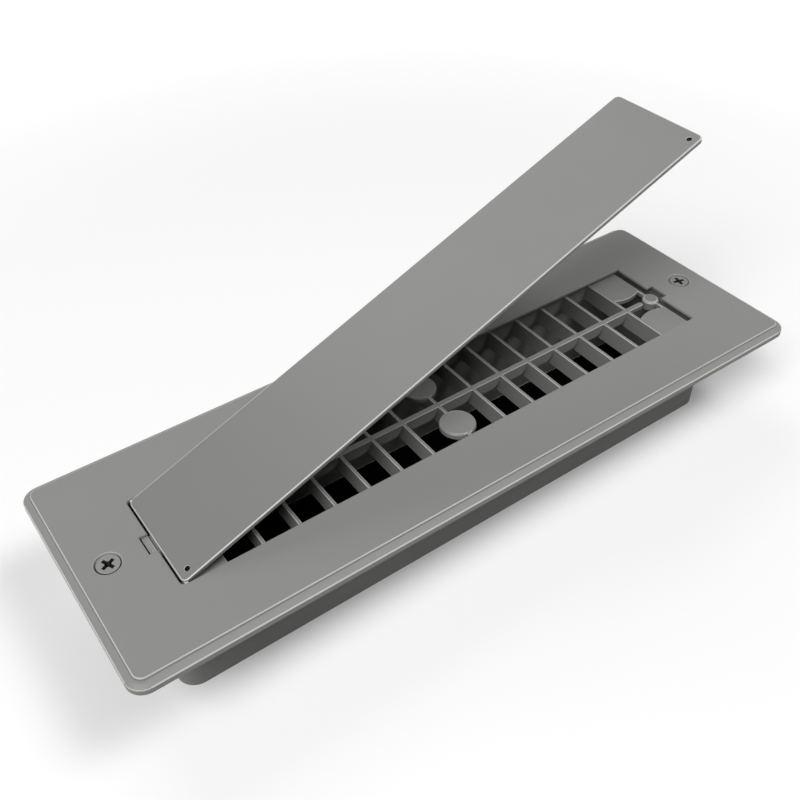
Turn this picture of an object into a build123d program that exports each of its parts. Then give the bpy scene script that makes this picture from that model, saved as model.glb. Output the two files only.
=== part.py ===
from build123d import *
from math import cos, hypot, radians, sin, tan
import os

# Floor register: a moulded frame whose collar drops into a duct opening, a grille insert that
# clicks into the collar from below, a lid that flips up at one end, and two countersunk screws.
# Millimetres, +Z up. X runs along the register, with the lid's hinge at the -X end. The origin is
# at the centre of the collar's bottom edge, on which the register stands when it is out of a floor.

# Duct opening in the floor, and the collar that drops into it
duct_length = 254.0
duct_width = 57.0
duct_gap = 1.0
collar_wall = 2.0
collar_corner = 7.0
frame_height = 46.0

# Faceplate: a flat top inside a stepped, sloped rim
flange_overhang_end = 18.7
flange_overhang_side = 19.7
flange_corner = 6.2
plate_thickness = 2.3
rim_edge_height = 2.3
rim_edge_round = 0.6
rim_slope_width = 2.3
rim_slope_drop = 1.2
rim_ledge = 0.4
rim_step = 0.9
rim_wall = 2.4
plate_edge_bevel = 0.25
stiffener_thickness = 1.6
stiffener_pitch = 24.0
stiffener_lift = 0.5
end_stiffener_pitch = 36.0

# Lid opening in the faceplate, and its two end notches
lip_end = 7.0
lip_side = 3.7
lip_thickness = 1.2
opening_corner_hinge = 1.8
opening_corner_free = 1.0
opening_bevel = 0.3
notch_width = 8.5
notch_depth = 3.0

# Lid, and the angle at which it stands open
lid_thickness = 1.9
lid_side_gap = 0.7
lid_free_gap = 0.8
lid_corner = 2.2
lid_edge_round = 0.4
lid_underside_bevel = 0.3
lid_open_angle = 22.0
hang_hole_diameter = 2.0
hang_hole_inset = 3.6

# Lid hinge: two stub pins, each in a grooved block under the opening's lip
pin_diameter = 1.5
pin_clearance = 0.1
pin_reach = 1.2
pin_root = 7.0
pin_lift = 0.3
hinge_overhang = 0.7
swing_clearance = 0.4
hinge_block_length = 5.0
hinge_block_gap = 0.2

# Grille insert
insert_gap = 0.2
insert_depth = 8.0
insert_border = 1.8
rib_thickness = 1.3
rib_pitch = 14.05
middle_pitch = 16.7
centre_rib_thickness = 2.2
centre_rib_depth = 2.0
tab_depth = 5.0
tab_corner = 3.8
end_slot = 1.0
ledge_minimum = 12.0
ledge_thickness = 2.0
ledge_inner = 7.8
ledge_bulge = 2.0

# Pads on the middle rib, which carry the closed lid with the boss at its free end
pad_diameter = 14.0
pad_side_gap = 2.5
pad_thickness = 2.2
pad_rise = 0.3
pad_round = 0.8
lid_rest_gap = 0.3

# Spring boss at each end of the insert, with a key under the notch at the hinge end
boss_diameter = 7.0
boss_height = 4.0
boss_bevel = 0.6
bar_thickness = 1.2
bar_height = 1.8
tongue_thickness = 1.6
key_gap = 0.1
key_end_gap = 0.6
key_cover = 0.8
key_top_depth = 1.5
centre_rib_gap = 1.7

# Snap nubs on the collar's inner walls, under the insert's border
nub_length = 12.0
nub_reach = 0.8
nub_height = 2.5
nub_pitch = 84.0
nub_count = 3

# Countersunk screws: a plain neck where the screw passes the frame, then the thread's full diameter
screw_inset = 13.2
screw_head_diameter = 8.4
screw_rim_height = 0.4
screw_recess = 0.4
screw_neck_diameter = 3.4
screw_thread_diameter = 4.2
screw_thread_gap = 1.0
screw_length = 25.0
screw_tip_length = 5.0
screw_hole_diameter = 4.6
screw_boss_diameter = 11.0
screw_rim_gap = 0.4
screw_seat_gap = 0.12
countersink_angle = 82.0
cross_span = 5.0
cross_slot = 1.3
cross_depth = 2.3
cross_taper = 12.0
cross_turn_hinge = 25.0
cross_turn_free = -14.0

# Sizes that follow from the ones above
collar_length = duct_length - 2 * duct_gap
collar_width = duct_width - 2 * duct_gap
throat_length = collar_length - 2 * collar_wall
throat_width = collar_width - 2 * collar_wall
throat_corner = collar_corner - collar_wall
flange_length = duct_length + 2 * flange_overhang_end
flange_width = duct_width + 2 * flange_overhang_side
flange_height = rim_edge_height + rim_slope_drop + rim_step
rim_inset = rim_slope_width + rim_ledge
opening_length = throat_length - 2 * lip_end
opening_width = throat_width - 2 * lip_side
opening_end = opening_length / 2
opening_side = opening_width / 2

recess_depth = lid_thickness + lid_rest_gap + pad_rise
plate_top = frame_height
plate_underside = plate_top - plate_thickness
lip_underside = plate_top - lip_thickness
floor_level = plate_top - flange_height
hollow_height = plate_underside - floor_level

insert_top = plate_top - recess_depth
insert_bottom = insert_top - insert_depth
insert_length = throat_length - 2 * insert_gap
insert_width = throat_width - 2 * insert_gap
insert_corner = throat_corner - insert_gap
ledge_end = opening_end - end_slot
ledge_outer = (insert_width - insert_border) / 2
rib_count = 1 + int((ledge_end - ledge_minimum - middle_pitch) // rib_pitch)
side_ribs = [middle_pitch + i * rib_pitch for i in range(rib_count)]
rib_places = [-x for x in reversed(side_ribs)] + [0.0] + side_ribs
pad_offset = opening_side - pad_side_gap - pad_diameter / 2
boss_x = ledge_end - bar_thickness / 2
centre_rib_end = boss_x - boss_diameter / 2 - centre_rib_gap
key_width = notch_width + 2 * key_cover
key_start = opening_end + key_gap
key_end = opening_end + notch_depth - key_end_gap

hinge_drop = recess_depth - pin_lift - pin_diameter / 2
hinge_z = plate_top - hinge_drop
nose_sweep = hypot(hinge_overhang - lid_edge_round, hinge_drop - lid_edge_round) + lid_edge_round
hinge_x = nose_sweep + swing_clearance - opening_end
lid_length = opening_end - lid_free_gap - hinge_x + hinge_overhang
lid_width = opening_width - 2 * lid_side_gap
lid_middle = lid_length / 2 - hinge_overhang
hang_hole_near = lid_middle - lid_length / 2 + hang_hole_inset
hang_hole_far = lid_middle + lid_length / 2 - hang_hole_inset
hang_hole_side = hang_hole_inset - lid_width / 2
groove_radius = pin_diameter / 2 + pin_clearance
block_end = insert_width / 2 - insert_border - hinge_block_gap
block_bottom = insert_top + hinge_block_gap

screw_x = flange_length / 2 - screw_inset
head_slope = tan(radians(countersink_angle / 2))
countersink_radius = screw_head_diameter / 2 + screw_rim_gap
countersink_top = plate_top - screw_recess
head_height = screw_rim_height + (screw_head_diameter - screw_neck_diameter) / 2 / head_slope
head_top = countersink_top - screw_rim_gap / head_slope + screw_rim_height + screw_seat_gap
thread_top = floor_level - screw_thread_gap - head_top

os.makedirs("parts", exist_ok=True)

# Frame: faceplate, rim and collar in one moulding
with BuildPart() as frame:
    # Rim slab, sloped all round
    with BuildSketch(Plane.XY.offset(floor_level)):
        RectangleRounded(flange_length, flange_width, flange_corner)
    extrude(amount=flange_height - rim_step)
    slab_top = frame.faces().sort_by(Axis.Z)[-1]
    chamfer(slab_top.edges(), length=rim_slope_width, length2=rim_slope_drop, reference=slab_top)
    slope_foot = frame.edges().group_by(Axis.Z)[-3]
    fillet(slope_foot, radius=rim_edge_round)
    # Flat top, standing one step above the slope
    with BuildSketch(Plane.XY.offset(plate_top - rim_step)):
        RectangleRounded(
            flange_length - 2 * rim_inset,
            flange_width - 2 * rim_inset,
            flange_corner - rim_inset,
        )
    extrude(amount=rim_step)
    chamfer(frame.faces().sort_by(Axis.Z)[-1].edges(), length=plate_edge_bevel)
    # Hollow underside
    with BuildSketch(Plane.XY.offset(floor_level)):
        RectangleRounded(
            flange_length - 2 * rim_wall,
            flange_width - 2 * rim_wall,
            flange_corner - rim_wall,
        )
    extrude(amount=hollow_height, mode=Mode.SUBTRACT)
    # Collar, and the throat through it up to the lip
    with BuildSketch():
        RectangleRounded(collar_length, collar_width, collar_corner)
    extrude(amount=plate_underside)
    with BuildSketch():
        RectangleRounded(throat_length, throat_width, throat_corner)
    extrude(amount=lip_underside, mode=Mode.SUBTRACT)
    # Stiffeners from the collar to the rim, and a boss under each screw
    side_run = (flange_width - collar_width - rim_wall) / 2
    end_run = (flange_length - collar_length - rim_wall) / 2
    side_pairs = int((collar_length / 2 - collar_corner) // stiffener_pitch)
    with BuildSketch(Plane.XY.offset(floor_level + stiffener_lift)):
        with GridLocations(stiffener_pitch, collar_width + side_run, 1 + 2 * side_pairs, 2):
            Rectangle(stiffener_thickness, side_run)
        with GridLocations(collar_length + end_run, end_stiffener_pitch, 2, 2):
            Rectangle(end_run, stiffener_thickness)
        with Locations((-screw_x, 0), (screw_x, 0)):
            Circle(screw_boss_diameter / 2)
    extrude(amount=hollow_height - stiffener_lift)
    # Opening for the lid, with a notch in the middle of each end
    with BuildSketch(Plane.XY.offset(lip_underside)):
        opening = Rectangle(opening_length, opening_width)
        fillet(opening.vertices().group_by(Axis.X)[0], radius=opening_corner_hinge)
        fillet(opening.vertices().group_by(Axis.X)[-1], radius=opening_corner_free)
        Rectangle(opening_length + 2 * notch_depth, notch_width)
    extrude(amount=lip_thickness, mode=Mode.SUBTRACT)
    chamfer(frame.faces().sort_by(Axis.Z)[-1].inner_wires()[0].edges(), length=opening_bevel)
    # Blocks under the lip for the lid's stub pins, with grooves that are open towards the insert
    with BuildSketch(Plane.XY.offset(block_bottom)):
        with Locations((hinge_x, 0)):
            with GridLocations(0, opening_side + block_end, 1, 2):
                Rectangle(hinge_block_length, block_end - opening_side)
    extrude(amount=lip_underside - block_bottom)
    with BuildSketch(Plane((hinge_x, 0, hinge_z), x_dir=(1, 0, 0), z_dir=(0, -1, 0))):
        Circle(groove_radius)
        with Locations((0, (block_bottom - hinge_z) / 2)):
            Rectangle(2 * groove_radius, hinge_z - block_bottom)
    extrude(amount=block_end, both=True, mode=Mode.SUBTRACT)
    # Snap nubs: flat on top, with a ramp that the insert rides over
    for i in range(nub_count):
        nub_start = (i - (nub_count - 1) / 2) * nub_pitch - nub_length / 2
        with BuildSketch(Plane.YZ.offset(nub_start)):
            with BuildLine():
                Polyline(
                    (throat_width / 2, insert_bottom),
                    (throat_width / 2 - nub_reach, insert_bottom),
                    (throat_width / 2, insert_bottom - nub_height),
                    close=True,
                )
            make_face()
            mirror(about=Plane.YZ)
        extrude(amount=nub_length)
    # Screw holes: a shallow recess around the head's rim, then a countersink
    with BuildSketch(Plane.XY.offset(countersink_top)):
        with Locations((-screw_x, 0), (screw_x, 0)):
            Circle(countersink_radius)
    extrude(amount=screw_recess, mode=Mode.SUBTRACT)
    with Locations((-screw_x, 0, countersink_top), (screw_x, 0, countersink_top)):
        CounterSinkHole(
            screw_hole_diameter / 2,
            countersink_radius,
            counter_sink_angle=countersink_angle,
        )
frame.part.label = "frame"
export_step(frame.part, "parts/frame.step")

# Grille insert: two rows of cells, end ledges, lid pads and spring bosses in one moulding
with BuildPart() as grille_insert:
    # Round pads, rounded off before the middle rib joins them
    with BuildSketch(Plane.XY.offset(insert_top + pad_rise)):
        with GridLocations(0, 2 * pad_offset, 1, 2):
            Circle(pad_diameter / 2)
    extrude(amount=-pad_thickness)
    fillet(grille_insert.edges(Select.LAST).group_by(Axis.Z)[-1], radius=pad_round)
    # End bosses: the one at the hinge end stays below the lid's nose, the other stands with the pads
    for x, boss_top in ((-boss_x, insert_top), (boss_x, insert_top + pad_rise)):
        with BuildSketch(Plane((x, 0, boss_top))):
            Circle(boss_diameter / 2)
        extrude(amount=-boss_height)
        chamfer(grille_insert.edges(Select.LAST).group_by(Axis.Z)[-1], length=boss_bevel)
    # Border, which stands up to the lip, and cross ribs
    with BuildSketch(Plane.XY.offset(insert_bottom)):
        RectangleRounded(insert_length, insert_width, insert_corner)
        RectangleRounded(
            insert_length - 2 * insert_border,
            insert_width - 2 * insert_border,
            insert_corner - insert_border,
            mode=Mode.SUBTRACT,
        )
    extrude(amount=lip_underside - insert_bottom)
    with BuildSketch(Plane.XY.offset(insert_bottom)):
        with Locations(*[(x, 0) for x in rib_places]):
            Rectangle(rib_thickness, 2 * ledge_outer)
    extrude(amount=insert_depth)
    # Centre rib, stopping short of the bosses, with a round-cornered tab hanging in each cell
    with BuildSketch(Plane.XY.offset(insert_top - centre_rib_depth)):
        SlotOverall(2 * centre_rib_end, centre_rib_thickness)
    extrude(amount=centre_rib_depth)
    with BuildSketch(Plane((0, 0, insert_top), x_dir=(1, 0, 0), z_dir=(0, -1, 0))) as tabs:
        for left, right in zip(rib_places, rib_places[1:]):
            with Locations(((left + right) / 2, -tab_depth / 2)):
                Rectangle(right - left - rib_thickness, tab_depth)
        fillet(tabs.vertices().group_by(Axis.Y)[0], radius=tab_corner)
    extrude(amount=centre_rib_thickness / 2, both=True)
    # Four ledges, each with an inner edge that bulges towards the centre rib
    with BuildSketch(Plane.XY.offset(insert_top - ledge_thickness)):
        with BuildLine():
            Polyline(
                (side_ribs[-1], ledge_inner),
                (side_ribs[-1], ledge_outer),
                (ledge_end, ledge_outer),
                (ledge_end, ledge_inner),
            )
            ThreePointArc(
                (ledge_end, ledge_inner),
                ((side_ribs[-1] + ledge_end) / 2, ledge_inner - ledge_bulge),
                (side_ribs[-1], ledge_inner),
            )
        make_face()
        mirror(about=Plane.XZ)
        mirror(about=Plane.YZ)
    extrude(amount=ledge_thickness)
    # Thin bars that carry the bosses between the ledges
    with BuildSketch(Plane.XY.offset(insert_top - bar_height)):
        with Locations((-boss_x, 0), (boss_x, 0)):
            Rectangle(bar_thickness, 2 * ledge_inner + bar_thickness)
    extrude(amount=bar_height)
    # Tongue from the boss at the hinge end, and the key that it carries under the notch
    with BuildSketch(Plane.XY.offset(insert_top - tongue_thickness)):
        with Locations((-(boss_x + key_end) / 2, 0)):
            Rectangle(key_end - boss_x, key_width)
    extrude(amount=tongue_thickness)
    with BuildSketch(Plane.XY.offset(insert_top)):
        with Locations((-(key_start + key_end) / 2, 0)):
            Rectangle(key_end - key_start, key_width)
    extrude(amount=recess_depth - key_top_depth)
grille_insert.part.label = "grille_insert"
export_step(grille_insert.part, "parts/grille_insert.step")

# Lid: a flat plate with two stub pins at its hinge end, standing open
open_angle = radians(lid_open_angle)
lid_plane = Plane(
    (hinge_x, 0, hinge_z),
    x_dir=(cos(open_angle), 0, sin(open_angle)),
    z_dir=(-sin(open_angle), 0, cos(open_angle)),
)
lid_normal = Axis(lid_plane.origin, lid_plane.z_dir)
with BuildPart() as lid:
    with BuildSketch(lid_plane.offset(hinge_drop - lid_thickness)):
        with Locations((lid_middle, 0)):
            RectangleRounded(lid_length, lid_width, lid_corner)
        with Locations((hang_hole_near, hang_hole_side), (hang_hole_far, hang_hole_side)):
            Circle(hang_hole_diameter / 2, mode=Mode.SUBTRACT)
    extrude(amount=lid_thickness)
    lid_underside, lid_top = lid.faces().sort_by(SortBy.AREA)[-2:].sort_by(lid_normal)
    fillet(lid_top.outer_wire().edges(), radius=lid_edge_round)
    chamfer(lid_underside.outer_wire().edges(), length=lid_underside_bevel)
    for side in (-1, 1):
        pin_plane = Plane((hinge_x, 0, hinge_z), x_dir=(1, 0, 0), z_dir=(0, side, 0))
        with BuildSketch(pin_plane.offset(lid_width / 2 - pin_root)):
            Circle(pin_diameter / 2)
        extrude(amount=pin_root + lid_side_gap + pin_reach)
lid.part.label = "lid"
export_step(lid.part, "parts/lid.step")

# Mounting screws: countersunk heads with a cross recess, each turned as it was driven home
with BuildPart() as mounting_screws:
    for x, turn in ((-screw_x, cross_turn_hinge), (screw_x, cross_turn_free)):
        with BuildSketch(Plane((x, 0, head_top), x_dir=(1, 0, 0), z_dir=(0, -1, 0))):
            with BuildLine():
                Polyline(
                    (0, 0),
                    (screw_head_diameter / 2, 0),
                    (screw_head_diameter / 2, -screw_rim_height),
                    (screw_neck_diameter / 2, -head_height),
                    (screw_neck_diameter / 2, thread_top),
                    (screw_thread_diameter / 2, thread_top),
                    (screw_thread_diameter / 2, screw_tip_length - screw_length),
                    (0, -screw_length),
                    close=True,
                )
            make_face()
        revolve(axis=Axis((x, 0, 0), (0, 0, 1)))
        with BuildSketch(Plane((x, 0, head_top))):
            Rectangle(cross_span, cross_slot, rotation=turn)
            Rectangle(cross_slot, cross_span, rotation=turn)
        extrude(amount=-cross_depth, taper=cross_taper, mode=Mode.SUBTRACT)
mounting_screws.part.label = "mounting_screws"
export_step(mounting_screws.part, "parts/mounting_screws.step")
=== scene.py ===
import logging
import math
from dataclasses import dataclass, field
from enum import Enum, IntEnum

import bmesh
import bpy
from mathutils import Matrix, Vector


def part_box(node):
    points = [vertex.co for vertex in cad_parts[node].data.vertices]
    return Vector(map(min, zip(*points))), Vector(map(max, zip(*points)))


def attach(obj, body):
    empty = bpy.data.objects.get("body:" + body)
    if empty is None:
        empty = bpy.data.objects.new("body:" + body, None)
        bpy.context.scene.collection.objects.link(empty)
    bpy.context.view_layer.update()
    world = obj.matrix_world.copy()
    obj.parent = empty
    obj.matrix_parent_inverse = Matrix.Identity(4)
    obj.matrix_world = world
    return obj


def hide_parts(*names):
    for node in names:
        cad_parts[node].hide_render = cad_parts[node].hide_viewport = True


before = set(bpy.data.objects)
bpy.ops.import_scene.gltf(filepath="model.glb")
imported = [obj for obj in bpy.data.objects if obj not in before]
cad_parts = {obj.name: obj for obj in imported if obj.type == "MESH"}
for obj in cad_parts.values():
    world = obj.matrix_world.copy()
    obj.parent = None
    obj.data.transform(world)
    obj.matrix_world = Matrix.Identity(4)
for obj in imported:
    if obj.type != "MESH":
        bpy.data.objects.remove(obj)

# A floor register with its lid tipped up: a lacquered frame, a ribbed grille insert, a flat lid and
# two countersunk screws. Sizes in the classes are millimetres and angles are degrees. Blender's own
# units are metres and radians.

MM = 0.001
QUARTER_TURN = math.tau / 4

# Most values of a noise texture lie between these two.
NOISE_LOW, NOISE_HIGH = 0.3, 0.7

# Numbers of the sockets that a Mix node uses for colours. Its sockets for other kinds share their names.
MIX_FACTOR, MIX_FIRST, MIX_SECOND, MIX_RESULT = 0, 6, 7, 2

# A closed ring of points in a mesh that is being built.
Ring = list[bmesh.types.BMVert]

log = logging.getLogger("floor_register")


class Node(str, Enum):
    """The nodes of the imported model."""

    FRAME = "frame"
    GRILLE = "grille_insert"
    LID = "lid"
    SCREWS = "mounting_screws"


class Body(str, Enum):
    """The bodies that the pieces ride on."""

    BASE = "base"
    LID = "lid"


class MouldingSlot(IntEnum):
    """The material slots of a moulding."""

    FACE = 0
    EDGE = 1
    HOLE = 2


class ScrewSlot(IntEnum):
    """The material slots of the screws."""

    HEAD = 0
    THREAD = 1
    RECESS = 2


def linear(code: str) -> tuple[float, float, float, float]:
    """Turn an sRGB hex code into a linear colour.

    Args:
        code: Six hex digits after a hash sign.

    Returns:
        Red, green, blue and an alpha of 1.
    """
    channels = [int(code[i : i + 2], 16) / 255 for i in (1, 3, 5)]
    # The curve and its numbers are those of the sRGB standard.
    red, green, blue = (c / 12.92 if c <= 0.04045 else ((c + 0.055) / 1.055) ** 2.4 for c in channels)
    return red, green, blue, 1.0


def add_node(
    tree: bpy.types.NodeTree,
    kind: str,
    sockets: dict[int | str, object] | None = None,
    **settings: object,
) -> bpy.types.Node:
    """Add a node, set it up and link what feeds it.

    Args:
        tree: The node tree that the node joins.
        kind: Blender's name for the kind of node.
        sockets: For each input, by name or number, its value or the output that feeds it.
        **settings: Properties of the node itself.

    Returns:
        The new node.
    """
    node = tree.nodes.new(kind)
    for name, value in settings.items():
        setattr(node, name, value)
    for key, value in (sockets or {}).items():
        if isinstance(value, bpy.types.NodeSocket):
            tree.links.new(value, node.inputs[key])
        else:
            node.inputs[key].default_value = value
    return node


def blank_material(name: str) -> bpy.types.Material:
    """Make a material whose node tree is empty."""
    material = bpy.data.materials.new(name)
    material.use_nodes = True
    material.node_tree.nodes.clear()
    return material


def seen_directly(tree: bpy.types.NodeTree) -> bpy.types.NodeSocket:
    """Tell the rays that look at a surface from those that carry light off it.

    Args:
        tree: The node tree of a backdrop.

    Returns:
        An output that is 1 for the camera, in reflections and through clear things, and 0 otherwise.
    """
    path = add_node(tree, "ShaderNodeLightPath").outputs
    seen = path["Is Camera Ray"]
    for kind in ("Is Glossy Ray", "Is Transmission Ray"):
        either = {0: seen, 1: path[kind]}
        seen = add_node(tree, "ShaderNodeMath", either, operation="MAXIMUM").outputs[0]
    return seen


@dataclass(frozen=True)
class SatinLacquer:
    """Satin lacquer sprayed on moulded ABS or on a steel screw head.

    The eye sees an even grey with a broad soft gloss. Spraying leaves slow drifts of colour and gloss
    over a few centimetres, and an orange peel that only softens the edges of highlights. The peel is
    drawn twice as wide as a real one, which is as fine as the render shows.
    """

    name: str
    colour: str
    drift_colour: str
    roughness: float = 0.38
    roughness_spread: float = 0.06
    drift_width: float = 45.0
    drift_detail: float = 3.0
    peel_width: float = 1.4
    peel_detail: float = 1.0
    peel_depth: float = 0.01
    ior: float = 1.5

    def material(self) -> bpy.types.Material:
        """Build the lacquer.

        Returns:
            The finished material.
        """
        material = blank_material(self.name)
        tree = material.node_tree
        place = add_node(tree, "ShaderNodeTexCoord").outputs["Object"]
        drift = add_node(
            tree,
            "ShaderNodeTexNoise",
            {"Vector": place, "Scale": 1 / (self.drift_width * MM), "Detail": self.drift_detail},
        ).outputs["Fac"]
        colour = add_node(
            tree,
            "ShaderNodeMix",
            {MIX_FACTOR: drift, MIX_FIRST: linear(self.colour), MIX_SECOND: linear(self.drift_colour)},
            data_type="RGBA",
        ).outputs[MIX_RESULT]
        gloss = add_node(
            tree,
            "ShaderNodeMapRange",
            {
                "Value": drift,
                "From Min": NOISE_LOW,
                "From Max": NOISE_HIGH,
                "To Min": self.roughness - self.roughness_spread / 2,
                "To Max": self.roughness + self.roughness_spread / 2,
            },
            interpolation_type="SMOOTHSTEP",
        ).outputs["Result"]
        peel = add_node(
            tree,
            "ShaderNodeTexNoise",
            {"Vector": place, "Scale": 1 / (self.peel_width * MM), "Detail": self.peel_detail},
        ).outputs["Fac"]
        bump = add_node(
            tree,
            "ShaderNodeBump",
            {"Height": peel, "Strength": 1.0, "Distance": self.peel_depth * MM},
        ).outputs["Normal"]
        shader = add_node(
            tree,
            "ShaderNodeBsdfPrincipled",
            {"Base Color": colour, "Roughness": gloss, "Normal": bump, "IOR": self.ior},
        ).outputs["BSDF"]
        add_node(tree, "ShaderNodeOutputMaterial", {"Surface": shader})
        return material


@dataclass(frozen=True)
class ZincPlate:
    """Bright zinc plate on a rolled steel thread.

    The eye sees a pale, slightly blue metal whose gloss is broken into fine smears by the rolling.
    """

    name: str = "zinc_plated_steel"
    colour: str = "#b4b8bc"
    roughness_low: float = 0.24
    roughness_high: float = 0.4
    smear_width: float = 0.8
    smear_detail: float = 4.0
    smear_depth: float = 0.01

    def material(self) -> bpy.types.Material:
        """Build the plated metal.

        Returns:
            The finished material.
        """
        material = blank_material(self.name)
        tree = material.node_tree
        place = add_node(tree, "ShaderNodeTexCoord").outputs["Object"]
        smear = add_node(
            tree,
            "ShaderNodeTexNoise",
            {"Vector": place, "Scale": 1 / (self.smear_width * MM), "Detail": self.smear_detail},
        ).outputs["Fac"]
        gloss = add_node(
            tree,
            "ShaderNodeMapRange",
            {
                "Value": smear,
                "From Min": NOISE_LOW,
                "From Max": NOISE_HIGH,
                "To Min": self.roughness_low,
                "To Max": self.roughness_high,
            },
        ).outputs["Result"]
        bump = add_node(
            tree,
            "ShaderNodeBump",
            {"Height": smear, "Strength": 1.0, "Distance": self.smear_depth * MM},
        ).outputs["Normal"]
        shader = add_node(
            tree,
            "ShaderNodeBsdfPrincipled",
            {"Base Color": linear(self.colour), "Metallic": 1.0, "Roughness": gloss, "Normal": bump},
        ).outputs["BSDF"]
        add_node(tree, "ShaderNodeOutputMaterial", {"Surface": shader})
        return material


@dataclass(frozen=True)
class PaintedShade:
    """Black phosphated steel, or black ABS as moulded, where the lacquer's spray does not reach.

    Near-black painted shade, with a fine grain, for small holes and recesses where little light gets in.
    the render could not show.
    """

    name: str
    colour: str = "#161616"
    grain_colour: str = "#1e1e1d"
    roughness_low: float = 0.6
    roughness_high: float = 0.8
    grain_width: float = 0.25
    grain_detail: float = 2.0
    grain_depth: float = 0.01

    def material(self) -> bpy.types.Material:
        """Build the painted shade.

        Returns:
            The finished material.
        """
        material = blank_material(self.name)
        tree = material.node_tree
        place = add_node(tree, "ShaderNodeTexCoord").outputs["Object"]
        grain = add_node(
            tree,
            "ShaderNodeTexNoise",
            {"Vector": place, "Scale": 1 / (self.grain_width * MM), "Detail": self.grain_detail},
        ).outputs["Fac"]
        colour = add_node(
            tree,
            "ShaderNodeMix",
            {MIX_FACTOR: grain, MIX_FIRST: linear(self.colour), MIX_SECOND: linear(self.grain_colour)},
            data_type="RGBA",
        ).outputs[MIX_RESULT]
        gloss = add_node(
            tree,
            "ShaderNodeMapRange",
            {"Value": grain, "To Min": self.roughness_low, "To Max": self.roughness_high},
        ).outputs["Result"]
        bump = add_node(
            tree,
            "ShaderNodeBump",
            {"Height": grain, "Strength": 1.0, "Distance": self.grain_depth * MM},
        ).outputs["Normal"]
        shader = add_node(
            tree,
            "ShaderNodeBsdfPrincipled",
            {"Base Color": colour, "Roughness": gloss, "Normal": bump},
        ).outputs["BSDF"]
        add_node(tree, "ShaderNodeOutputMaterial", {"Surface": shader})
        return material


def dress(piece: bpy.types.Object, *materials: bpy.types.Material) -> None:
    """Give a piece these materials in its slots.

    Args:
        piece: A new piece or a backdrop.
        *materials: One material for each slot, in order.
    """
    while len(piece.material_slots) < len(materials):
        piece.data.materials.append(None)
    for place, material in zip(piece.material_slots, materials):
        place.material = material


def new_piece(name: str, mesh: bpy.types.Mesh) -> bpy.types.Object:
    """Make an object of a mesh and put it in the scene."""
    piece = bpy.data.objects.new(name, mesh)
    bpy.context.scene.collection.objects.link(piece)
    return piece


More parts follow.
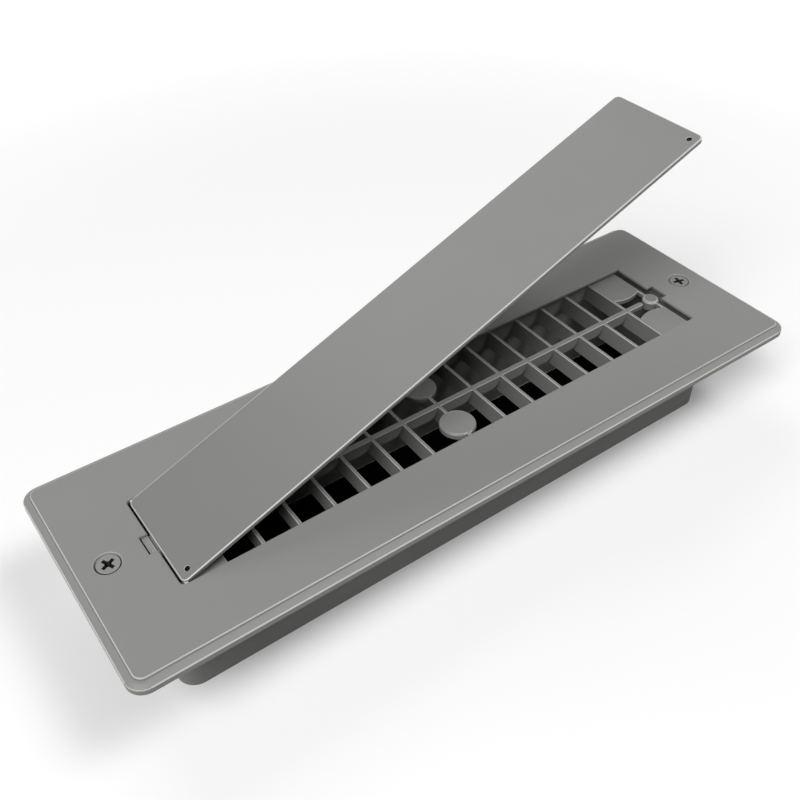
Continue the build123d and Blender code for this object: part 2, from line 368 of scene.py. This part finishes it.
@dataclass
class Moulding:
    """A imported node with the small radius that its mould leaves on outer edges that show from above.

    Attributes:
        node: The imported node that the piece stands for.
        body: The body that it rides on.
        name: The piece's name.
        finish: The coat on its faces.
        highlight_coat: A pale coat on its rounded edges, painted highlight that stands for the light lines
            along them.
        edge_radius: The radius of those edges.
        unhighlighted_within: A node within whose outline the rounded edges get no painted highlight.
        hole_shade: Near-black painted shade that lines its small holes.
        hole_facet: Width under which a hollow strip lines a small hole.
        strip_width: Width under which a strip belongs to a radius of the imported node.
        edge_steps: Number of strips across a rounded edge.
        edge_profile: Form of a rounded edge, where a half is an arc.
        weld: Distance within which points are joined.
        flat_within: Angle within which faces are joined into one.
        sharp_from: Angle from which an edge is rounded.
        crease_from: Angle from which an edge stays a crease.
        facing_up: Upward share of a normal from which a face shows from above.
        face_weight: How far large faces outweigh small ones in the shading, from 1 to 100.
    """

    node: Node
    body: Body
    name: str
    finish: SatinLacquer
    highlight_coat: SatinLacquer
    edge_radius: float
    unhighlighted_within: Node | None = None
    hole_shade: PaintedShade | None = None
    hole_facet: float = 0.2
    strip_width: float = 0.085
    edge_steps: int = 3
    edge_profile: float = 0.5
    weld: float = 0.002
    flat_within: float = 1.0
    sharp_from: float = 30.0
    crease_from: float = 48.0
    facing_up: float = 0.1
    face_weight: int = 100

    def shows(self, edge: bmesh.types.BMEdge) -> bool:
        """Tell whether an edge is a sharp outer one that shows from above."""
        sharp = edge.calc_face_angle(0.0) > math.radians(self.sharp_from)
        upward = any(face.normal.z > self.facing_up for face in edge.link_faces)
        return sharp and edge.is_convex and upward

    def rounds(self, face: bmesh.types.BMFace) -> bool:
        """Tell whether a face is a narrow strip of a packed radius that shows from above."""
        longest = max(edge.calc_length() for edge in face.edges)
        narrow = face.calc_area() < self.strip_width * MM * longest
        return narrow and face.normal.z > self.facing_up

    def lines_hole(self, face: bmesh.types.BMFace) -> bool:
        """Tell whether a face is one of the narrow strips that line a small hole."""
        sides = sorted(face.edges, key=lambda edge: edge.calc_length())[-2:]
        narrow = face.calc_area() < self.hole_facet * MM * sides[-1].calc_length()
        return narrow and not any(edge.is_convex for edge in sides)

    def highlighted_faces(self, faces: list[bmesh.types.BMFace]) -> list[bmesh.types.BMFace]:
        """Pick the rounded faces that get the painted highlight.

        Args:
            faces: Faces of rounded edges.

        Returns:
            All of them, but for those within the outline of the node whose edges get no painted highlight.
        """
        if self.unhighlighted_within is None:
            return faces
        low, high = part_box(self.unhighlighted_within.value)
        middles = [(face, face.calc_center_median()) for face in faces]
        return [face for face, m in middles if not (low.x < m.x < high.x and low.y < m.y < high.y)]

    def sort_faces(self, shape: bmesh.types.BMesh, rounded: list[bmesh.types.BMFace]) -> None:
        """Put the faces of a rounded shape into the material slots.

        Args:
            shape: The rounded shape, whose faces are changed.
            rounded: The faces that the rounding made.
        """
        # The rounded edges get the pale painted highlight.
        for face in self.highlighted_faces(rounded + [face for face in shape.faces if self.rounds(face)]):
            face.material_index = MouldingSlot.EDGE
        if self.hole_shade:
            for face in filter(self.lines_hole, shape.faces):
                face.material_index = MouldingSlot.HOLE

    def soften(self, mesh: bpy.types.Mesh) -> None:
        """Round off the sharp edges of a mesh.

        Args:
            mesh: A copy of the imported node's mesh, which is changed.
        """
        shape = bmesh.new()
        shape.from_mesh(mesh)
        bmesh.ops.remove_doubles(shape, verts=shape.verts, dist=self.weld * MM)
        flat = math.radians(self.flat_within)
        bmesh.ops.dissolve_limit(shape, angle_limit=flat, verts=shape.verts, edges=shape.edges)
        shape.normal_update()
        rounded = bmesh.ops.bevel(
            shape,
            geom=[edge for edge in shape.edges if self.shows(edge)],
            offset=self.edge_radius * MM,
            offset_type="OFFSET",
            segments=self.edge_steps,
            profile=self.edge_profile,
            affect="EDGES",
            clamp_overlap=False,
            loop_slide=False,
        )["faces"]
        shape.normal_update()
        self.sort_faces(shape, rounded)
        bmesh.ops.dissolve_degenerate(shape, dist=self.weld * MM, edges=shape.edges)
        for face in shape.faces:
            face.smooth = True
        for edge in shape.edges:
            edge.smooth = edge.calc_face_angle(0.0) < math.radians(self.crease_from)
        shape.to_mesh(mesh)
        shape.free()

    def build(self) -> bpy.types.Object:
        """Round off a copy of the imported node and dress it.

        Returns:
            The piece that stands for the node.
        """
        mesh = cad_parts[self.node.value].data.copy()
        mesh.name = self.name
        self.soften(mesh)
        piece = new_piece(self.name, mesh)
        flatten = piece.modifiers.new("flat_faces_stay_flat", "WEIGHTED_NORMAL")
        flatten.weight = self.face_weight
        flatten.keep_sharp = True
        coats = filter(None, (self.finish, self.highlight_coat, self.hole_shade))
        dress(piece, *(coat.material() for coat in coats))
        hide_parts(self.node.value)
        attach(piece, self.body.value)
        return piece


@dataclass
class ScrewPair:
    """Two countersunk wood screws, lacquered on their heads and plated below, with painted shade in recess
    and rim.

    Attributes:
        head_finish: The coat on the tops of the heads.
        thread_finish: The plating below the heads.
        recess_shade: Near-black painted shade in the cross recess and on the rim.
        head_angle: Angle of the head's cone, from side to side.
        rim_height: Height of the head's rim with its bevel.
        rim_bands: Number of bands of faces that make up the rim, which are its bevel and its wall.
        neck_end: Depth at which the thread starts.
        crest_width: Half the thickness of the thread at its foot, as a share of its pitch.
        crest_place: Place of the crest, as a share of the pitch.
        cross_taper: Angle by which the recess narrows on each side.
        cross_web: Leg of the corners that are cut off between the arms.
        cross_turns: Angles at which the two screws were left.
        columns: Number of points round a screw.
    """

    head_finish: SatinLacquer
    thread_finish: ZincPlate
    recess_shade: PaintedShade
    head_diameter: float = 8.4
    head_angle: float = 82.0
    rim_height: float = 0.4
    rim_bevel: float = 0.25
    rim_bands: int = 2
    neck_diameter: float = 3.4
    neck_end: float = 5.06
    thread_diameter: float = 4.2
    core_diameter: float = 2.9
    thread_pitch: float = 1.9
    crest_width: float = 0.25
    crest_place: float = 0.5
    tip_length: float = 5.0
    tip_diameter: float = 0.3
    length: float = 25.0
    cross_arms: int = 4
    cross_span: float = 5.0
    cross_slot: float = 1.3
    cross_depth: float = 2.3
    cross_taper: float = 12.0
    cross_web: float = 0.35
    cross_turns: tuple[float, float] = (25.0, -14.0)
    columns: int = 36
    rows_per_turn: int = 12

    @property
    def head_height(self) -> float:
        """Height of the head's rim and cone."""
        half_angle = math.radians(self.head_angle / 2)
        return self.rim_height + (self.head_diameter - self.neck_diameter) / 2 / math.tan(half_angle)

    def thread_radius(self, depth: float, turn: float) -> float:
        """Work out the radius of the threaded shank at one point.

        Args:
            depth: Distance below the head's top.
            turn: Share of a full turn about the screw's axis.

        Returns:
            The radius there.
        """
        to_tip = min(1.0, (self.length - depth) / self.tip_length)
        tip = self.tip_diameter / 2
        core = tip + (self.core_diameter / 2 - tip) * to_tip
        crest = tip + (self.thread_diameter / 2 - tip) * to_tip
        run_in = min(1.0, max(0.0, (depth - self.neck_end) / self.thread_pitch))
        phase = (depth / self.thread_pitch + turn) % 1.0
        flank = max(0.0, 1.0 - abs(phase - self.crest_place) / self.crest_width)
        return core + (crest - core) * run_in * flank

    def rings(self) -> list[list[Vector]]:
        """List the rings of points from the head's rim down to the tip.

        Returns:
            One list of points for each ring.
        """
        head, neck = self.head_diameter / 2, self.neck_diameter / 2
        smooth = {
            0.0: head - self.rim_bevel,
            self.rim_bevel: head,
            self.rim_height: head,
            self.head_height: neck,
            self.neck_end: neck,
        }
        step = self.thread_pitch / self.rows_per_turn
        threaded = int((self.length - self.neck_end) / step)
        depths = [*smooth, *(self.neck_end + step * (i + 1) for i in range(threaded))]

        def point(depth: float, turn: float) -> Vector:
            """Place one point of a ring."""
            radius = smooth.get(depth) or self.thread_radius(depth, turn)
            return Vector((math.cos(math.tau * turn) * radius, math.sin(math.tau * turn) * radius, -depth))

        return [[point(depth, i / self.columns) for i in range(self.columns)] for depth in depths]

    def cross(self, depth: float, turn: float) -> list[Vector]:
        """Outline the cross recess at a depth.

        Args:
            depth: Distance below the head's top.
            turn: Angle at which the screw was left.

        Returns:
            Its corners in order, with the inner ones cut off as a driver's bit needs.
        """
        shrink = depth * math.tan(math.radians(self.cross_taper))
        arm, slot = self.cross_span / 2 - shrink, self.cross_slot / 2 - shrink
        inner = slot + self.cross_web
        corners = [(arm, -slot), (arm, slot), (inner, slot), (slot, inner)]
        angles = [math.tau / self.cross_arms * i + math.radians(turn) for i in range(self.cross_arms)]
        return [
            Matrix.Rotation(angle, 3, "Z") @ Vector((x, y, -depth)) for angle in angles for x, y in corners
        ]

    def add_screw(self, shape: bmesh.types.BMesh, top: Vector, turn: float) -> None:
        """Add one screw to a mesh.

        Args:
            shape: The mesh that the screw joins.
            top: Middle of the head's top, in metres.
            turn: Angle at which the screw was left.
        """

        def loop(points: list[Vector]) -> Ring:
            """Add a ring of points."""
            return [shape.verts.new(top + p * MM) for p in points]

        def bridge(upper: Ring, lower: Ring, slot: ScrewSlot) -> None:
            """Join two rings with quads."""
            for i, corner in enumerate(upper):
                face = shape.faces.new((upper[i - 1], lower[i - 1], lower[i], corner))
                face.material_index = slot
                face.smooth = slot == ScrewSlot.THREAD

        rings = [loop(ring) for ring in self.rings()]
        for band, (upper, lower) in enumerate(zip(rings, rings[1:])):
            # The rim's bands get the painted shade of the recess.
            bridge(upper, lower, ScrewSlot.RECESS if band < self.rim_bands else ScrewSlot.THREAD)
        shape.faces.new(list(reversed(rings[-1]))).material_index = ScrewSlot.THREAD
        mouth, floor = (loop(self.cross(depth, turn)) for depth in (0.0, self.cross_depth))
        for i, corner in enumerate(mouth):
            wall = shape.faces.new((mouth[i - 1], corner, floor[i], floor[i - 1]))
            wall.material_index = ScrewSlot.RECESS
        shape.faces.new(floor).material_index = ScrewSlot.RECESS
        rim = [shape.edges.get((rings[0][i - 1], v)) for i, v in enumerate(rings[0])]
        lips = [shape.edges.get((mouth[i - 1], v)) for i, v in enumerate(mouth)]
        bmesh.ops.triangle_fill(shape, use_beauty=True, edges=rim + lips, normal=(0, 0, 1))

    def build(self) -> bpy.types.Object:
        """Build both screws and dress them.

        Returns:
            The piece that stands for both screws.
        """
        low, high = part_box(Node.SCREWS.value)
        reach = high.x - self.head_diameter / 2 * MM
        shape = bmesh.new()
        for x, turn in zip((-reach, reach), self.cross_turns):
            self.add_screw(shape, Vector((x, (low.y + high.y) / 2, high.z)), turn)
        bmesh.ops.recalc_face_normals(shape, faces=shape.faces)
        mesh = bpy.data.meshes.new("wood_screws")
        shape.to_mesh(mesh)
        shape.free()
        piece = new_piece("wood_screws", mesh)
        coats = (self.head_finish, self.thread_finish, self.recess_shade)
        dress(piece, *(coat.material() for coat in coats))
        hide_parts(Node.SCREWS.value)
        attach(piece, Body.BASE.value)
        return piece


@dataclass(frozen=True)
class Softbox:
    """A square soft lamp that looks at the register's middle."""

    name: str
    place: tuple[float, float, float]
    side: float
    watts: float

    def build(self) -> bpy.types.Object:
        """Hang the lamp.

        Returns:
            The lamp's object.
        """
        light = bpy.data.lights.new(self.name, "AREA")
        light.size = self.side * MM
        light.energy = self.watts
        lamp = bpy.data.objects.new(self.name, light)
        lamp.location = Vector(self.place) * MM
        lamp.rotation_euler = lamp.location.to_track_quat("Z", "Y").to_euler()
        bpy.context.scene.collection.objects.link(lamp)
        return lamp


@dataclass
class Studio:
    """A pale floor that rises to a low wall all round, under soft light.

    Attributes:
        floor_colour: Colour of the floor, as it is seen.
        floor_bounce: A darker colour for the light that it throws back, which leaves the register's sides
            in shade, as in the photograph.
        glow: Strength at which the floor shows white.
        glow_start: Distance from the register's middle at which the floor starts to whiten.
        glow_full: Distance at which the floor is white.
        duct_shade_lift: Height over the floor of a near-black sheet, painted shade for the unlit duct.
    """

    softboxes: list[Softbox] = field(
        default_factory=lambda: [
            Softbox("key_softbox", (-2227.0, -1285.0, 3064.0), 1900.0, 136.0),
            Softbox("fill_softbox", (884.0, -884.0, 2165.0), 900.0, 22.0),
            Softbox("back_softbox", (80.0, 1525.0, 1975.0), 1400.0, 9.0),
        ]
    )
    floor_colour: str = "#f8f8f8"
    floor_bounce: str = "#6c6c6c"
    floor_radius: float = 2400.0
    wall_curve: float = 800.0
    wall_steps: int = 8
    wall_height: float = 600.0
    wall_columns: int = 64
    glow: float = 1.0
    glow_start: float = 250.0
    glow_full: float = 1200.0
    duct_shade_colour: str = "#0c0c0c"
    duct_shade_lift: float = 0.1
    sky_colour: str = "#ffffff"
    sky_strength: float = 0.03

    def outer_glow(self, tree: bpy.types.NodeTree, seen: bpy.types.NodeSocket) -> bpy.types.NodeSocket:
        """Make a glow that whitens the floor away from the register and its shadow.

        Args:
            tree: The node tree of the floor.
            seen: The output that is 1 for the rays that look at the floor.

        Returns:
            An emission that lights nothing else.
        """
        place = add_node(tree, "ShaderNodeNewGeometry").outputs["Position"]
        reach = add_node(tree, "ShaderNodeVectorMath", {0: place}, operation="LENGTH").outputs["Value"]
        rise = add_node(
            tree,
            "ShaderNodeMapRange",
            {
                "Value": reach,
                "From Min": self.glow_start * MM,
                "From Max": self.glow_full * MM,
                "To Max": self.glow,
            },
            interpolation_type="SMOOTHSTEP",
        ).outputs["Result"]
        both = {0: rise, 1: seen}
        strength = add_node(tree, "ShaderNodeMath", both, operation="MULTIPLY").outputs[0]
        return add_node(tree, "ShaderNodeEmission", {"Strength": strength}).outputs["Emission"]

    def backdrop(
        self, name: str, rings: list[list[Vector]], colour: str, bounce: str, glows: bool = False
    ) -> None:
        """Add a surface that is no part of the register.

        Args:
            name: Name of the surface and its material.
            rings: Rings of points in metres, each inside the next. The first is filled.
            colour: Its colour, as it is seen.
            bounce: Its colour for the light that it throws back on the register.
            glows: Whether it whitens away from the register.
        """
        shape = bmesh.new()
        loops = [[shape.verts.new(point) for point in ring] for ring in rings]
        shape.faces.new(loops[0])
        for inner, outer in zip(loops, loops[1:]):
            for i, corner in enumerate(inner):
                shape.faces.new((inner[i - 1], outer[i - 1], outer[i], corner)).smooth = True
        mesh = bpy.data.meshes.new(name)
        shape.to_mesh(mesh)
        shape.free()
        material = blank_material(name)
        tree = material.node_tree
        seen = seen_directly(tree)
        colours = {MIX_FACTOR: seen, MIX_FIRST: linear(bounce), MIX_SECOND: linear(colour)}
        shown = add_node(tree, "ShaderNodeMix", colours, data_type="RGBA").outputs[MIX_RESULT]
        shader = add_node(tree, "ShaderNodeBsdfDiffuse", {"Color": shown}).outputs["BSDF"]
        if glows:
            glow = self.outer_glow(tree, seen)
            shader = add_node(tree, "ShaderNodeAddShader", {0: shader, 1: glow}).outputs["Shader"]
        add_node(tree, "ShaderNodeOutputMaterial", {"Surface": shader})
        piece = new_piece(name, mesh)
        dress(piece, material)

    def floor(self) -> None:
        """Lay the pale floor and raise its wall."""
        bends = [QUARTER_TURN * i / self.wall_steps for i in range(self.wall_steps + 1)]
        foot, curve = self.floor_radius, self.wall_curve
        profile = [(foot + curve * math.sin(b), curve * (1 - math.cos(b))) for b in bends]
        profile.append((foot + curve, curve + self.wall_height))
        turns = [math.tau * i / self.wall_columns for i in range(self.wall_columns)]
        rings = [[Vector((r * math.cos(t), r * math.sin(t), z)) * MM for t in turns] for r, z in profile]
        self.backdrop("studio_floor", rings, self.floor_colour, self.floor_bounce, glows=True)

    def painted_duct_shade(self) -> None:
        """Lay a near-black sheet inside the collar, painted shade for the unlit duct below."""
        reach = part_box(Node.GRILLE.value)[1]
        corners = ((-1, -1), (1, -1), (1, 1), (-1, 1))
        mouth = [Vector((x * reach.x, y * reach.y, self.duct_shade_lift * MM)) for x, y in corners]
        # A near-black sheet as painted shade for the duct.
        self.backdrop("painted_duct_shade", [mouth], self.duct_shade_colour, self.duct_shade_colour)

    def sky(self) -> None:
        """Leave a little even light, as the walls of a room throw back."""
        world = bpy.data.worlds.new("dim_room")
        world.use_nodes = True
        tree = world.node_tree
        tree.nodes.clear()
        light = {"Color": linear(self.sky_colour), "Strength": self.sky_strength}
        shader = add_node(tree, "ShaderNodeBackground", light).outputs["Background"]
        add_node(tree, "ShaderNodeOutputWorld", {"Surface": shader})
        bpy.context.scene.world = world

    def build(self) -> None:
        """Set up the floor, the painted shade of the duct, the sky and the lamps."""
        self.floor()
        self.painted_duct_shade()
        self.sky()
        for softbox in self.softboxes:
            softbox.build()
        bpy.context.scene.view_settings.view_transform = "Standard"


@dataclass(frozen=True)
class PhotoCamera:
    """The camera that took the photograph, as its picture of the faceplate gives it.

    Attributes:
        azimuth: Turn of the camera about the register, from its near side towards +X.
        elevation: Height of the camera over the floor, as an angle.
        roll: Tilt of the picture.
        distance: Distance from the point that it looks at.
        aim: Place of that point on the faceplate's top.
        focal_pixels: Focal length, in pixels of the picture.
        picture_pixels: Width of the picture in pixels.
        sensor_width: Width of the sensor.
    """

    azimuth: float = -35.05
    elevation: float = 42.07
    roll: float = 0.72
    distance: float = 362.7
    aim: tuple[float, float] = (-11.6, 8.4)
    focal_pixels: float = 956.8
    picture_pixels: float = 800.0
    sensor_width: float = 36.0

    def build(self) -> bpy.types.Object:
        """Place the camera and make it the scene's own.

        Returns:
            The camera's object.
        """
        turn, rise = math.radians(self.azimuth), math.radians(self.elevation)
        level = math.cos(rise)
        back = Vector((math.sin(turn) * level, -math.cos(turn) * level, math.sin(rise)))
        plate_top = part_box(Node.FRAME.value)[1].z
        aim = Vector((self.aim[0] * MM, self.aim[1] * MM, plate_top))
        lens = bpy.data.cameras.new("photo_camera")
        lens.sensor_width = self.sensor_width
        lens.lens = self.focal_pixels / self.picture_pixels * self.sensor_width
        lens.clip_start = MM
        camera = bpy.data.objects.new("photo_camera", lens)
        upright = back.to_track_quat("Z", "Y").to_matrix().to_4x4()
        tilt = Matrix.Rotation(math.radians(-self.roll), 4, "Z")
        camera.matrix_world = Matrix.Translation(aim + back * self.distance * MM) @ upright @ tilt
        bpy.context.scene.collection.objects.link(camera)
        bpy.context.scene.camera = camera
        return camera


def main() -> None:
    """Build the register's looks, light it and place the camera."""
    logging.basicConfig(level=logging.INFO, format="%(name)s: %(message)s")
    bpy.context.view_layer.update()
    # The mouldings and the screw heads are one grey, give or take a shade. The lid is the glossiest, and
    # its gloss hardly drifts, because a wider spread drew contour lines on its flat top.
    lacquer = SatinLacquer("satin_lacquer_on_abs", "#878785", "#838381", roughness=0.55)
    lid_lacquer = SatinLacquer(
        "satin_lacquer_on_lid", "#828280", "#7e7e7c", roughness=0.29, roughness_spread=0.03
    )
    grille_lacquer = SatinLacquer("satin_lacquer_on_grille", "#868684", "#828280")
    steel_lacquer = SatinLacquer("satin_lacquer_on_steel", "#878785", "#838381")
    # On rounded edges a pale grey is painted highlight, standing for the light lines along them.
    edge_highlight_lacquer = SatinLacquer("satin_lacquer_painted_edge_highlight", "#c8c8c4", "#c0c0bc")
    # Painted shade: near-black in the lid's small holes, and in the recesses and on the rims of the
    # screws.
    lid_hole_shade = PaintedShade("painted_shade_in_lid_holes")
    screw_recess_shade = PaintedShade("painted_shade_in_screw_recesses")
    pieces = [
        Moulding(
            Node.FRAME,
            Body.BASE,
            "moulded_frame",
            lacquer,
            edge_highlight_lacquer,
            edge_radius=0.12,
            unhighlighted_within=Node.GRILLE,
        ),
        Moulding(
            Node.LID,
            Body.LID,
            "moulded_lid",
            lid_lacquer,
            edge_highlight_lacquer,
            edge_radius=0.12,
            hole_shade=lid_hole_shade,
        ),
        Moulding(Node.GRILLE, Body.BASE, "moulded_grille", grille_lacquer, edge_highlight_lacquer, edge_radius=0.2),
        ScrewPair(steel_lacquer, ZincPlate(), screw_recess_shade),
    ]
    for piece in pieces:
        log.info("built %s", piece.build().name)
    Studio().build()
    PhotoCamera().build()


if __name__ == "__main__":
    main()
